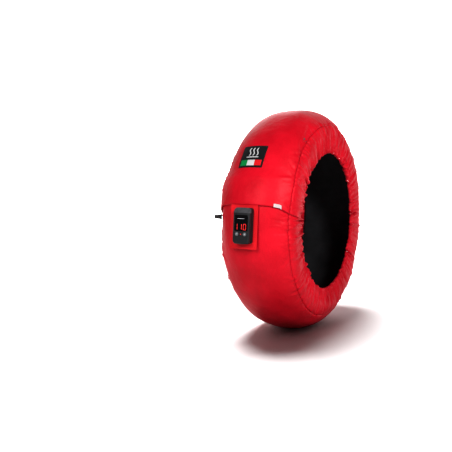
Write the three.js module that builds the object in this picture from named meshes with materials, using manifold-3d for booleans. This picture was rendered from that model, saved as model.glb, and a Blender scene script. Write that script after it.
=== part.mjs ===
// A motorcycle tire warmer, worn round and standing on its tread.
// Millimetres and degrees. X is the axle, -Y the front with the controller, Z is up.
// The origin is the middle of the flat where the tread meets the floor.

import * as THREE from 'three';
import { mergeVertices } from 'three/addons/utils/BufferGeometryUtils.js';
import Module from 'manifold-3d';

const wasm = await Module();
wasm.setup();

const degrees = Math.PI / 180;

// Driving dimensions: the tire it fits and the layers round it
const tireCrownRadius = 320.4;
const liningThickness = 1;
const elementThickness = 1.2;
const padThickness = 7;
const coverThickness = 1.5;
const clearance = 0.3;

// Driving dimensions: the cross-section of the cover's outer face
const halfWidth = 112;
const shoulderDrop = 77;
const crownExponent = 1.8;
const sideExponent = 2.3;
const treadSteps = [0, 10, 20, 32, 44, 55, 64.6];
const upperSideStep = 78;
const hemRadius = 207;
const hemHalfWidth = 106;

// Driving dimensions: the round and its flat
const fineStep = 6;
const coarseStep = 12;
const flatHalfAngle = 8.5;
const flatInnerAngle = 3;

// Driving dimensions: the closure, as angles up from the front
const flapEdgeLine = 12;
const tuckEnd = 24;
const rampTop = 30;
const flapEdgeAngles = [11.5, 11.5, 11.5, 11.4, 11.1, 9.6, 8.6, 7.9, 7.3, 6.6, 6];
const hookThickness = 0.8;
const loopThickness = 0.8;
const stripHalfWidth = 90;
const stripBottomAngle = 14.5;
const stripTopAngle = 23;

// Driving dimensions: gathers and hem
const gatherCount = 27;
const gatherDepths = [0, 1.4, 2.8, 4, 3.6];
const gatherUneven = 0.2;
const tunnelWidth = 9.2;
const tunnelDrop = 3.6;
const tunnelShoulder = 2.2;
const hemReturn = 6.5;
const elasticRadius = 2.5;

// Driving dimensions: the heating element, its turns and ends as angles
const elementWidth = 4;
const elementLanes = [-60, -20, 20, 60];
const elementTurnAngle = 20;
const elementEndAngle = 4;

// Driving dimensions: the controller tab
const tabAngle = 5.5;
const tabWidth = 80;
const tabCentre = -5;
const tabAbove = 35;
const tabBelow = 82;
const tabThickness = 3;
const tabCorner = 2;
const strapThickness = 1;
const strapLeft = -40;
const strapRight = 30;
const strapBottomAngle = 6.5;
const strapTopAngle = 14;

// Driving dimensions: the controller housing
const housingWidth = 48;
const housingHeight = 94;
const housingDepth = 24;
const housingTopMargin = 7.5;
const housingCorner = 8;
const housingBelly = 3;
const housingWall = 2;
const baseDepth = 9.5;
const gasketThickness = 0.6;
const gasketInset = 0.5;
const gasketWidth = 1;
const frontRounding = 3;
const slopeLength = 15;
const slopeFall = 9;
const slotCount = 8;
const slotWidth = 1.8;
const slotDepth = 0.8;
const slotLean = 24;
const slotShare = 0.8;
const coverStep = 0.6;

// Driving dimensions: what the front carries, from the housing's two ends
const windowWidth = 38;
const windowFromTop = 20;
const windowCorner = 1.5;
const windowLip = 1;
const windowSunk = 0.1;
const keySpacing = 23;
const keyFromBottom = 24.5;
const keyBelowWindow = 8;
const keyRadius = 4.8;
const keyTravel = 0.7;
const keyFlange = 0.9;
const keyFlangeReach = 1.2;
const keyStemRadius = 1.5;
const keyProud = 0.8;
const lampRadius = 1.2;
const lampProud = 0.2;
const digitHeight = 17;
const digitWidth = 8.5;
const digitPitch = 12.6;
const digitBar = 1.5;
const digitsAboveEdge = 11;

// Driving dimensions: what the housing holds
const boardThickness = 1.6;
const boardMargin = 1.2;
const boardStandoff = 3;
const switchSize = 6;
const switchHeight = 3.4;
const relaySize = [19, 15, 5.5];
const relayMargin = 8;
const terminalSize = [20, 8, 5.5];
const terminalMargin = 1.2;
const fuseLength = 20;
const fuseRadius = 2.6;
const fuseGap = 0.8;
const moduleMargin = 1;
const moduleBorder = 3;
const screwRadius = 1.5;
const screwHeadRadius = 3;
const screwHeadHeight = 1.7;
const screwHeadRim = 0.4;
const screwSunk = 0.1;
const screwLength = 9;
const screwFromSide = 8;
const screwFromEnd = 11;
const bossRadius = 3.6;

// Driving dimensions: lead, sensor, gland and sewn labels
const leadRadius = 2.5;
const leadAngle = 2;
const spliceWidth = 4;
const sensorAngle = -30;
const sensorSize = 10;
const grommetWall = 1;
const grommetLip = 1.6;
const grommetLipReach = 1.2;
const glandStation = -5.75;
const glandAngle = 7.4;
const glandLength = 20;
const glandBaseRadius = 8;
const glandFlange = 2;
const glandNeck = 3.5;
const glandNeckRadius = 6;
const glandTipRadius = 4.6;
const glandBoreRadius = 3;
const glandBoreStart = 4;
const patchLeft = -48;
const patchRight = 22;
const patchBottomAngle = 30;
const patchTopAngle = 41.8;
const patchThickness = 0.8;
const tagLeft = 64;
const tagRight = 86;
const tagHeightAngle = 1.5;
const tagThickness = 0.5;

// How far a cutter runs past the face that it opens, and how deep joined bodies overlap
const cutOverrun = 1;
const joinOverlap = 0.2;
const farOff = 200;

// Sizes that follow from them
const crownRadius = tireCrownRadius + liningThickness + elementThickness + padThickness
  + coverThickness + 3 * clearance;
const widestRadius = crownRadius - shoulderDrop;
const axleHeight = crownRadius * Math.cos(flatHalfAngle * degrees);
const padOuter = -coverThickness - clearance;
const padInner = padOuter - padThickness;
const elementOuter = padInner - clearance;
const elementInner = elementOuter - elementThickness;
const liningOuter = elementInner - clearance;
const liningInner = liningOuter - liningThickness;
const closureStack = loopThickness + hookThickness + 3 * clearance + coverThickness;
const fullTurn = 360;
const lapStart = rampTop - fullTurn;
const flapEnd = flapEdgeLine - fullTurn;
const seamStation = treadSteps.length - 1;
const hemStation = seamStation + gatherDepths.length - 1;

// Cross-section: outer face as a polyline of stations, crown first, hem last
function outerStations() {
  const points = treadSteps.concat(upperSideStep, 90).map((step) => {
    const across = halfWidth * Math.sin(step * degrees) ** (2 / sideExponent);
    const rise = Math.max(0, Math.cos(step * degrees)) ** (2 / crownExponent);
    return new THREE.Vector2(across, widestRadius + shoulderDrop * rise);
  });
  const widest = points[points.length - 1];
  const middle = new THREE.Vector2(
    widest.x - (widest.x - hemHalfWidth) * 0.25,
    (widest.y + hemRadius) / 2
  );
  points.push(middle, new THREE.Vector2(hemHalfWidth, hemRadius));
  return points;
}

// Mitred normals keep the nested layers parallel
function stationNormals(points) {
  const segmentNormal = (a, b) => new THREE.Vector2(a.y - b.y, b.x - a.x).normalize();
  return points.map((point, index) => {
    const mirror = new THREE.Vector2(-points[1].x, points[1].y);
    const before = index === 0 ? mirror : points[index - 1];
    const after = points[Math.min(index + 1, points.length - 1)];
    const first = segmentNormal(before, point);
    const second = index === points.length - 1 ? first : segmentNormal(point, after);
    const sum = first.clone().add(second);
    return sum.multiplyScalar(1 / (1 + first.dot(second)));
  });
}

const stations = outerStations();
const normals = stationNormals(stations);

// A fractional station number at a distance along the cross-section from a station
function stationBeside(station, distance) {
  const low = distance < 0 ? station - 1 : station;
  const length = stations[low].distanceTo(stations[low + 1]);
  return station + distance / length;
}

// A fractional station number at a width from the middle plane
function stationAt(width) {
  const across = Math.abs(width);
  let low = 0;
  while (low < seamStation - 1 && stations[low + 1].x < across) {
    low += 1;
  }
  const part = (across - stations[low].x) / (stations[low + 1].x - stations[low].x);
  return Math.sign(width) * (low + part);
}

// Angles: the lines of the round bend along the flap's slanted edge
function edgeLean(line) {
  const wrapped = line <= -fullTurn / 2 ? line + fullTurn : line;
  const reach = Math.abs(wrapped - flapEdgeLine);
  return Math.max(0, 1 - reach / flapEdgeLine);
}

// The flap climbs over the tucked end, and its side panels come down to the hem
function flapLift(line, station) {
  const climb = THREE.MathUtils.clamp((lapStart - line) / (rampTop - tuckEnd), 0, 1);
  const beyondSeam = Math.max(0, Math.abs(station) - seamStation);
  return closureStack * climb * (1 - beyondSeam / (hemStation - seamStation));
}

function spot(line, station, depth) {
  const index = Math.abs(station);
  const side = station < 0 ? -1 : 1;
  const point = stations[index];
  const normal = normals[index];
  const angle = (line + edgeLean(line) * (flapEdgeAngles[index] - flapEdgeLine)) * degrees;
  const fromBottom = Math.abs(Math.PI / 2 + angle);
  const floorRadius = fromBottom < 30 * degrees ? axleHeight / Math.cos(fromBottom) : Infinity;
  const sink = Math.max(0, point.y - floorRadius);
  const across = side * (point.x + depth * normal.x);
  const radius = point.y + depth * normal.y - sink;
  return new THREE.Vector3(
    across,
    -radius * Math.cos(angle),
    axleHeight + radius * Math.sin(angle)
  );
}

// Lines of the round between two angles, with the lines of the flat
function roundLines(from, to, step) {
  const flat = [flatInnerAngle, flatHalfAngle].flatMap((reach) => [-90 - reach, -90 + reach]);
  const lines = step === fineStep ? flat : [-90 - flatHalfAngle, -90 + flatHalfAngle];
  const first = Math.ceil(to / step) * step;
  for (let line = first; line <= from; line += step) {
    lines.push(line);
  }
  const inside = lines.filter((line) => line < from - 0.01 && line > to + 0.01);
  return [from, ...inside.sort((a, b) => b - a), to];
}

function stationsBetween(from, to, step = 1) {
  const list = [];
  for (let station = Math.ceil(from); station <= to; station += 1) {
    if (step === 1 || station % step === 0 || Math.abs(station) === seamStation - 1) {
      list.push(station);
    }
  }
  const inside = list.filter((station) => station > from + 0.001 && station < to - 0.001);
  return [from, ...inside, to];
}

// The lines on either side of a line, in the fine or the coarse round
function neighbours(line, step) {
  const lines = roundLines(tuckEnd + step, -fullTurn, step);
  let index = 0;
  while (index < lines.length - 2 && lines[index + 1] > line) {
    index += 1;
  }
  return [lines[index], lines[index + 1]];
}

// Any place on the faceted round: depth is measured outwards from the outer face
function place(line, station, depth, step = fineStep, columns = 1) {
  const [upper, lower] = neighbours(line, step);
  const alongRound = upper === lower ? 0 : (upper - line) / (upper - lower);
  const column = columnsAround(station, columns);
  const acrossPart = column[0] === column[1] ? 0 : (station - column[0]) / (column[1] - column[0]);
  const corner = (atLine, atStation) => spot(atLine, atStation, depth);
  const upperPoint = corner(upper, column[0]).lerp(corner(upper, column[1]), acrossPart);
  const lowerPoint = corner(lower, column[0]).lerp(corner(lower, column[1]), acrossPart);
  return upperPoint.lerp(lowerPoint, alongRound);
}

function columnsAround(station, columns) {
  let low = Math.floor(station + 1e-6);
  let high = Math.ceil(station - 1e-6);
  const allowed = (value) => columns === 1 || value % columns === 0
    || Math.abs(value) >= seamStation - 1;
  while (!allowed(low)) {
    low -= 1;
  }
  while (!allowed(high)) {
    high += 1;
  }
  return [low, high];
}

// Mesh helpers
function closedGeometry(points, triangles) {
  const positions = [];
  triangles.forEach((corner) => positions.push(...points[corner].toArray()));
  let volume = 0;
  for (let i = 0; i < triangles.length; i += 3) {
    const [a, b, c] = [points[triangles[i]], points[triangles[i + 1]], points[triangles[i + 2]]];
    volume += a.dot(b.clone().cross(c));
  }
  if (volume < 0) {
    for (let i = 0; i < positions.length; i += 9) {
      for (let axis = 0; axis < 3; axis += 1) {
        const swap = positions[i + axis];
        positions[i + axis] = positions[i + 3 + axis];
        positions[i + 3 + axis] = swap;
      }
    }
  }
  const geometry = new THREE.BufferGeometry();
  geometry.setAttribute('position', new THREE.Float32BufferAttribute(positions, 3));
  return geometry;
}

// A layer of cloth: an outer grid, an inner grid and the edges between them
function layer(lines, columns, outerDepth, innerDepth, locate) {
  const points = [];
  [outerDepth, innerDepth].forEach((depth) => {
    lines.forEach((line) => {
      columns.forEach((station) => points.push(locate(line, station, depth)));
    });
  });
  const half = lines.length * columns.length;
  const at = (row, column) => row * columns.length + column;
  const triangles = [];
  for (let row = 0; row < lines.length - 1; row += 1) {
    for (let column = 0; column < columns.length - 1; column += 1) {
      const a = at(row, column);
      const b = at(row + 1, column);
      const c = at(row + 1, column + 1);
      const d = at(row, column + 1);
      triangles.push(a, b, c, a, c, d);
      triangles.push(half + a, half + c, half + b, half + a, half + d, half + c);
    }
  }
  const wall = (a, b) => triangles.push(a, half + b, b, a, half + a, half + b);
  for (let row = 0; row < lines.length - 1; row += 1) {
    wall(at(row, 0), at(row + 1, 0));
    wall(at(row + 1, columns.length - 1), at(row, columns.length - 1));
  }
  for (let column = 0; column < columns.length - 1; column += 1) {
    wall(at(0, column + 1), at(0, column));
    wall(at(lines.length - 1, column), at(lines.length - 1, column + 1));
  }
  return closedGeometry(points, triangles);
}

// A solid through a row of like outlines; flat holds the first outline in its own plane
function loft(outlines, flat) {
  const points = outlines.flat();
  const count = flat.length;
  const triangles = [];
  for (let row = 0; row < outlines.length - 1; row += 1) {
    for (let i = 0; i < count; i += 1) {
      const next = (i + 1) % count;
      const a = row * count + i;
      const b = row * count + next;
      triangles.push(a, b, b + count, a, b + count, a + count);
    }
  }
  const last = (outlines.length - 1) * count;
  const clockwise = THREE.ShapeUtils.isClockWise(flat);
  THREE.ShapeUtils.triangulateShape(flat, []).forEach(([a, second, third]) => {
    const [b, c] = clockwise ? [third, second] : [second, third];
    triangles.push(a, c, b, last + a, last + b, last + c);
  });
  return closedGeometry(points, triangles);
}

// Solids for joins and cuts
function toSolid(geometry) {
  const bare = geometry.clone();
  ['normal', 'uv'].forEach((name) => bare.deleteAttribute(name));
  const merged = mergeVertices(bare, 1e-4);
  const vertProperties = new Float32Array(merged.attributes.position.array);
  const triVerts = new Uint32Array(merged.index.array);
  return new wasm.Manifold(new wasm.Mesh({ numProp: 3, vertProperties, triVerts }));
}

function toGeometry(solid) {
  const mesh = solid.getMesh();
  const geometry = new THREE.BufferGeometry();
  geometry.setAttribute('position', new THREE.Float32BufferAttribute(mesh.vertProperties, 3));
  geometry.setIndex(new THREE.BufferAttribute(mesh.triVerts, 1));
  return geometry;
}

function joined(first, ...others) {
  return toGeometry(others.reduce((solid, other) => solid.add(toSolid(other)), toSolid(first)));
}

function cut(body, ...cutters) {
  return toGeometry(cutters.reduce((solid, other) => solid.subtract(toSolid(other)), toSolid(body)));
}

function extrude(shape, from, to, curveSegments = 5) {
  const geometry = new THREE.ExtrudeGeometry(shape, {
    depth: to - from,
    bevelEnabled: false,
    curveSegments
  });
  return geometry.translate(0, 0, from);
}

function disc(radius, from, to, x = 0, y = 0, sides = 12) {
  const geometry = new THREE.CylinderGeometry(radius, radius, to - from, sides);
  return geometry.rotateX(Math.PI / 2).translate(x, y, (from + to) / 2);
}

function block(size, x, y, z) {
  return new THREE.BoxGeometry(...size).translate(x, y, z);
}

// Materials
const finish = (color, roughness, metalness = 0) => (
  new THREE.MeshStandardMaterial({ color, roughness, metalness })
);
const redNylon = finish(0xd8101c, 0.55);
const redTab = finish(0xe02a34, 0.6);
const blackNylon = finish(0x121214, 0.8);
const feltGrey = finish(0x55555a, 0.95);
const copperTone = finish(0xa8683c, 0.4, 0.9);
const elasticWhite = finish(0xd8d8d4, 0.85);
const hookBlack = finish(0x18181a, 0.9);
const housingGrey = finish(0x1d1e20, 0.5);
const windowBlack = finish(0x050506, 0.12);
const keyGrey = finish(0x46484c, 0.5);
const lampRed = finish(0x7a1414, 0.3);
const boardGreen = finish(0x1c5a34, 0.6);
const partGrey = finish(0x3a3c40, 0.5);
const steel = finish(0xb8bcc0, 0.35, 1);
const rubberBlack = finish(0x141414, 0.85);
const patchBlack = finish(0x101010, 0.8);
const tagWhite = finish(0xf2f0ea, 0.8);

const warmer = new THREE.Group();

function add(name, geometry, material, parent = warmer) {
  const mesh = new THREE.Mesh(geometry, material);
  mesh.name = name;
  parent.add(mesh);
  return mesh;
}

// The tab's own frame: x across, y up along the round, z out from it
const tab = new THREE.Group();
tab.rotation.x = (90 - tabAngle) * degrees;
tab.position.set(
  0,
  -crownRadius * Math.cos(tabAngle * degrees),
  axleHeight + crownRadius * Math.sin(tabAngle * degrees)
);
tab.updateMatrix();
warmer.add(tab);

const tabBack = 2 * clearance + strapThickness;
const leadSpot = crownRadius * Math.sin((leadAngle - tabAngle) * degrees);

// The heater lead runs straight through tab, cover and pad
function leadCylinder(radius, from, to) {
  return disc(radius, from, to, 0, leadSpot, 12);
}

function leadBore() {
  const reach = padInner - padThickness;
  return leadCylinder(leadRadius + clearance, reach, tabBack).applyMatrix4(tab.matrix);
}

// Tread band of the cover, from its tucked end round to the flap's edge
const treadEdge = stationBeside(seamStation, -clearance / 2);
const treadColumns = stationsBetween(-treadEdge, treadEdge);
const treadLines = roundLines(tuckEnd, flapEnd, fineStep);

function onCover(line, station, depth) {
  return place(line, station, depth + flapLift(line, station));
}

function treadBand() {
  const band = layer(treadLines, treadColumns, 0, -coverThickness, onCover);
  return cut(band, leadBore());
}

add('cover_tread', treadBand(), redNylon);

// Gathered side panels: crests and valleys at uneven angles, none where the ends close
function gatherLines() {
  const lines = [];
  const span = -lapStart;
  const count = 2 * gatherCount;
  for (let k = 0; k <= count; k += 1) {
    const atEnd = k % count === 0;
    const shift = atEnd ? 0 : gatherUneven * Math.sin(2.4 * k);
    const height = (k % 2 === 0 ? -1 : 1) * (1 - gatherUneven / 2 + gatherUneven * Math.sin(1.7 * k));
    lines.push({ line: -span * (k + shift) / count, height: atEnd ? 0 : height });
  }
  return lines;
}

const gathers = gatherLines();

function gatherHeight(line) {
  const exact = gathers.find((gather) => Math.abs(gather.line - line) < 1e-6);
  return exact ? exact.height : 0;
}

// The lower end of a side panel slants back under the flap
const panelEndLines = [20, 17, 11.6, 11.5, 11.5];

function panelOutline(line, side, slant) {
  const first = stationBeside(seamStation, clearance / 2);
  const outer = [first];
  for (let station = seamStation + 1; station <= hemStation; station += 1) {
    outer.push(station);
  }
  const fold = gatherHeight(line);
  const at = (station, depth) => {
    const index = Math.round(station) - seamStation;
    const ownLine = slant === null ? line : slant + (panelEndLines[index] - slant) * slantPart;
    const point = place(ownLine, side * station, depth + flapLift(ownLine, station));
    point.x += side * fold * gatherDepths[index];
    return point;
  };
  const slantPart = slant === null ? 0 : (line - slant) / (panelEndLines[0] - slant);
  const hem = at(hemStation, 0);
  const axle = new THREE.Vector3(0, 0, axleHeight);
  const outward = hem.clone().sub(axle).setX(0).normalize();
  const curl = (inward, up) => hem.clone().addScaledVector(outward, up)
    .add(new THREE.Vector3(-side * inward, 0, 0));
  const wall = coverThickness;
  const outline = outer.map((station) => at(station, 0));
  hemCurl().forEach(([inward, up]) => outline.push(curl(inward, up)));
  outer.slice(0, -1).reverse().forEach((station) => outline.push(at(station, -wall)));
  return outline;
}

// The hem turns in round the elastic and stays open at its free edge
function hemCurl() {
  const wall = coverThickness;
  const inner = tunnelWidth - wall;
  return [
    [tunnelShoulder, -tunnelDrop],
    [tunnelWidth - tunnelShoulder, -tunnelDrop],
    [tunnelWidth, -tunnelDrop / 6],
    [tunnelWidth, hemReturn],
    [inner, hemReturn],
    [inner, wall - tunnelDrop],
    [wall, wall - tunnelDrop]
  ];
}

function panelLines() {
  const lower = [panelEndLines[0], flapEdgeLine - 2, fineStep].map((line) => ({ line, slant: 0 }));
  const folds = gathers.map((gather) => ({ line: gather.line, slant: null }));
  const flapPart = roundLines(lapStart, flapEnd, fineStep).slice(1);
  return [...lower, ...folds, ...flapPart.map((line) => ({ line, slant: null }))];
}

function flatOutline() {
  const outer = stations.slice(seamStation).map((point) => point.clone());
  const inner = outer.slice(0, -1).reverse().map((point) => (
    new THREE.Vector2(point.x - coverThickness, point.y)
  ));
  const curl = hemCurl().map(([inward, up]) => (
    new THREE.Vector2(hemHalfWidth - inward, hemRadius + up)
  ));
  return [...outer, ...curl, ...inner];
}

function sidePanel(side) {
  const outlines = panelLines().map(({ line, slant }) => panelOutline(line, side, slant));
  return loft(outlines, flatOutline());
}

// The elastic lies in the tunnel of the hem
const elasticSides = 4;
const elasticRise = elasticRadius + coverThickness - tunnelDrop + clearance;

function elasticOutline(line, side) {
  const hem = place(line, side * hemStation, 0);
  hem.x += side * (gatherHeight(line) * gatherDepths[gatherDepths.length - 1]);
  const axle = new THREE.Vector3(0, 0, axleHeight);
  const outward = hem.clone().sub(axle).setX(0).normalize();
  const centre = hem.clone().addScaledVector(outward, elasticRise);
  centre.x -= side * tunnelWidth / 2;
  return flatRing(elasticSides, elasticRadius).map((corner) => (
    centre.clone().addScaledVector(outward, corner.y).add(new THREE.Vector3(side * corner.x, 0, 0))
  ));
}

function flatRing(sides, radius) {
  return Array.from({ length: sides }, (_, i) => {
    const turn = (i / sides - 0.25) * 2 * Math.PI;
    return new THREE.Vector2(radius * Math.cos(turn), radius * Math.sin(turn));
  });
}

function hemElastic(side) {
  const ends = [fineStep, ...gathers.map((gather) => gather.line)];
  const flapPart = roundLines(lapStart, flapEnd, fineStep).slice(1);
  const outlines = [...ends, ...flapPart].map((line) => elasticOutline(line, side));
  return loft(outlines, flatRing(elasticSides, elasticRadius));
}

[['right', 1], ['left', -1]].forEach(([name, side]) => {
  add(`cover_side_${name}`, sidePanel(side), redNylon);
  add(`hem_elastic_${name}`, hemElastic(side), elasticWhite);
});

// Pad, element and lining run once round and butt under the flap
const buttGap = 0.15;
const innerEdge = stationBeside(seamStation, -2);
const innerColumns = stationsBetween(-innerEdge, innerEdge, 2);
const innerLines = roundLines(tuckEnd - buttGap, tuckEnd - fullTurn + buttGap, coarseStep);

function inPad(line, station, depth) {
  return place(line, station, depth, coarseStep, 2);
}

const padSolid = layer(innerLines, innerColumns, padOuter, padInner, inPad);
add('heating_pad', cut(padSolid, leadBore()), feltGrey);
add('inner_lining', layer(innerLines, innerColumns, liningOuter, liningInner, inPad), blackNylon);

// Element: one flat ribbon, from the splice out to a lane, round the ring, across and back
function elementRoute() {
  const [outerLeft, innerLeft, innerRight, outerRight] = elementLanes;
  const farAngle = 2 * tuckEnd - elementTurnAngle - fullTurn;
  return [
    [elementEndAngle, innerLeft],
    [elementTurnAngle, innerLeft],
    [elementTurnAngle, outerLeft],
    [farAngle, outerLeft],
    [farAngle, outerRight],
    [elementTurnAngle, outerRight],
    [elementTurnAngle, innerRight],
    [elementEndAngle, innerRight]
  ];
}

// Where the ribbon bends with the facets, between two corners of its route
function ribbonStops([line, width], [nextLine, nextWidth]) {
  const clear = (stop, from, to, room) => Math.abs(stop - from) > room && Math.abs(stop - to) > room;
  if (line !== nextLine) {
    const lines = roundLines(Math.max(line, nextLine), Math.min(line, nextLine), coarseStep);
    const inside = lines.slice(1, -1).filter((stop) => clear(stop, line, nextLine, 1));
    return (nextLine > line ? inside.reverse() : inside).map((stop) => [stop, width]);
  }
  const [low, high] = [width, nextWidth].sort((a, b) => a - b).map(stationAt);
  const widths = stationsBetween(low, high, 2).slice(1, -1)
    .map((station) => Math.sign(station) * stations[Math.abs(station)].x)
    .filter((stop) => clear(stop, width, nextWidth, elementWidth));
  return (nextWidth < width ? widths.reverse() : widths).map((stop) => [line, stop]);
}

function elementRibbon() {
  const halfAngle = elementWidth / 2 / (crownRadius + elementInner) / degrees;
  const route = elementRoute();
  const headings = route.slice(1).map(([line, width], index) => [
    Math.sign(line - route[index][0]),
    Math.sign(width - route[index][1])
  ]);
  const sections = [];
  const section = ([line, width], heading) => {
    const reachAngle = -heading[1] * halfAngle;
    const reachWidth = heading[0] * elementWidth / 2;
    const corner = (sign, depth) => (
      inPad(line + sign * reachAngle, stationAt(width + sign * reachWidth), depth)
    );
    sections.push([
      corner(-1, elementOuter), corner(1, elementOuter),
      corner(1, elementInner), corner(-1, elementInner)
    ]);
  };
  route.forEach((point, index) => {
    const before = headings[Math.max(index - 1, 0)];
    const after = headings[Math.min(index, headings.length - 1)];
    const mitre = before === after ? after : [before[0] + after[0], before[1] + after[1]];
    section(point, mitre);
    if (index < headings.length) {
      ribbonStops(point, route[index + 1]).forEach((stop) => section(stop, after));
    }
  });
  return loft(sections, [[0, 0], [1, 0], [1, 1], [0, 1]].map((p) => new THREE.Vector2(...p)));
}

add('heating_element', elementRibbon(), copperTone);

// Splice between the ends of the element, and the sensor on the middle line
function flatPiece(middle, height, left, right, outer, inner) {
  const reach = height / 2 / crownRadius / degrees;
  const columns = stationsBetween(stationAt(left), stationAt(right), 2);
  return layer([middle + reach, middle - reach], columns, outer, inner, inPad);
}

const spliceReach = elementLanes[2] + elementWidth / 2;
add('lead_splice', flatPiece(
  leadAngle, spliceWidth, -spliceReach, spliceReach, elementOuter, elementInner
), steel);
add('temperature_sensor', flatPiece(
  sensorAngle, sensorSize, -sensorSize / 2, sensorSize / 2, elementOuter, elementInner
), steel);

// Closure strips between the tucked end and the flap
const stripLines = roundLines(stripTopAngle, stripBottomAngle, fineStep);
const stripColumns = stationsBetween(stationAt(-stripHalfWidth), stationAt(stripHalfWidth));
const loopFloor = clearance;
const hookFloor = loopFloor + loopThickness + clearance;
add('loop_strip', layer(stripLines, stripColumns, loopFloor + loopThickness, loopFloor, place),
  hookBlack);
add('hook_strip', layer(stripLines, stripColumns, hookFloor + hookThickness, hookFloor, place),
  hookBlack);

// Labels sewn on the flap
function label(top, bottom, left, right, floor, thickness) {
  const columns = stationsBetween(stationAt(left), stationAt(right));
  return layer(roundLines(top, bottom, fineStep), columns, floor + thickness, floor, place);
}

add('sewn_patch', label(
  patchTopAngle, patchBottomAngle, patchLeft, patchRight, clearance, patchThickness
), patchBlack);
add('care_tag', label(
  flapEdgeLine + tagHeightAngle, flapEdgeLine, tagLeft, tagRight,
  closureStack + clearance, tagThickness
), tagWhite);

// Strap that holds the tab: under the flap at its top, behind the tab below
add('tab_strap', layer(
  roundLines(strapTopAngle, strapBottomAngle, fineStep),
  stationsBetween(stationAt(strapLeft), stationAt(strapRight)),
  clearance + strapThickness, clearance, place
), redTab);

const tabFront = tabBack + tabThickness;
const housingMiddle = tabAbove - housingTopMargin - housingHeight / 2;
const housingTop = housingMiddle + housingHeight / 2;
const housingBottom = housingMiddle - housingHeight / 2;
const baseBack = tabFront + clearance;
const floorFront = baseBack + housingWall;
const baseFront = baseBack + baseDepth;
const gasketBack = baseFront + clearance;
const coverBack = gasketBack + gasketThickness + clearance;
const coverFront = tabFront + housingDepth;

function screwSpots() {
  return [-1, 1].flatMap((across) => [-1, 1].map((along) => [
    across * (housingWidth / 2 - screwFromSide),
    housingMiddle + along * (housingHeight / 2 - screwFromEnd)
  ]));
}

function roundedShape(width, height, corner, belly = 0) {
  const shape = new THREE.Shape();
  const x = width / 2;
  const y = height / 2;
  shape.moveTo(-x, -y + corner);
  shape.quadraticCurveTo(-x, -y, -x + corner, -y);
  shape.quadraticCurveTo(0, -y - belly, x - corner, -y);
  shape.quadraticCurveTo(x, -y, x, -y + corner);
  shape.lineTo(x, y - corner);
  shape.quadraticCurveTo(x, y, x - corner, y);
  shape.lineTo(-x + corner, y);
  shape.quadraticCurveTo(-x, y, -x, y - corner);
  shape.closePath();
  return shape;
}

function leadHole(radius) {
  return disc(radius, tabBack - cutOverrun, floorFront + cutOverrun, 0, leadSpot);
}

// Tab plate with its screw holes and countersinks
function tabPlate() {
  const height = tabAbove + tabBelow;
  const shape = roundedShape(tabWidth, height, tabCorner);
  const plate = extrude(shape, tabBack, tabFront, 2);
  plate.translate(tabCentre, tabAbove - height / 2, 0);
  const holes = screwSpots().map(([x, y]) => screwForm(x, y, clearance));
  return cut(plate, ...holes, leadHole(grommetBody + clearance));
}

// A countersunk screw, or with room added, the hole that takes it
function screwForm(x, y, room) {
  const back = room > 0 ? tabBack - cutOverrun : tabBack + screwSunk;
  const headEnd = tabBack + screwHeadHeight;
  const front = tabBack + screwLength + room;
  const outline = [
    [0, back],
    [screwHeadRadius + room, back],
    [screwHeadRadius + room, tabBack + screwHeadRim + room],
    [screwRadius + room, headEnd + room],
    [screwRadius + room, front],
    [0, front]
  ].map((point) => new THREE.Vector2(...point));
  return new THREE.LatheGeometry(outline, 8).rotateX(Math.PI / 2).translate(x, y, 0);
}

const grommetBody = leadRadius + clearance + grommetWall;
add('controller_tab', tabPlate(), redTab, tab);
screwSpots().forEach(([x, y], index) => {
  add(`housing_screw_${index + 1}`, screwForm(x, y, 0), steel, tab);
});

// Housing outlines, all from the same outer form
function housingShape(inset) {
  return roundedShape(
    housingWidth - 2 * inset,
    housingHeight - 2 * inset,
    housingCorner - inset,
    housingBelly
  );
}

function housingBlock(inset, from, to) {
  return extrude(housingShape(inset), from, to).translate(0, housingMiddle, 0);
}

function housingBase() {
  const shell = cut(
    housingBlock(0, baseBack, baseFront),
    housingBlock(housingWall, floorFront, baseFront + cutOverrun)
  );
  const bossTop = floorFront + boardStandoff - clearance;
  const bosses = screwSpots().map(([x, y]) => (
    disc(bossRadius, floorFront - joinOverlap, bossTop, x, y)
  ));
  const holes = screwSpots().map(([x, y]) => screwForm(x, y, clearance));
  return cut(joined(shell, ...bosses), ...holes, leadHole(grommetBody + clearance));
}

function gasketRing() {
  return cut(
    housingBlock(gasketInset, gasketBack, gasketBack + gasketThickness),
    housingBlock(gasketInset + gasketWidth, gasketBack - cutOverrun, coverBack)
  );
}

add('housing_base', housingBase(), housingGrey, tab);
add('housing_gasket', gasketRing(), rubberBlack, tab);

// The front cover: rounded front edge, sloped and slotted top, open window and key holes
const slopeAngle = Math.atan2(slopeFall, slopeLength);

function slopeCutter(drop) {
  const cutter = new THREE.BoxGeometry(2 * housingWidth, housingWidth, housingWidth);
  cutter.translate(0, 0, housingWidth / 2);
  cutter.rotateX(-slopeAngle);
  return cutter.translate(0, housingTop - slopeLength, coverFront - drop);
}

function slots() {
  const length = Math.hypot(slopeFall, slopeLength) * slotShare;
  const pitch = (housingWidth - housingCorner) / slotCount;
  return Array.from({ length: slotCount }, (_, i) => {
    const slot = new THREE.BoxGeometry(slotWidth, length, 2 * slotDepth);
    slot.rotateZ(slotLean * degrees);
    slot.translate((i - (slotCount - 1) / 2) * pitch, 0, 0);
    slot.rotateX(-slopeAngle);
    return slot.translate(0, housingTop - slopeLength / 2, coverFront - slopeFall / 2);
  });
}

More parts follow.
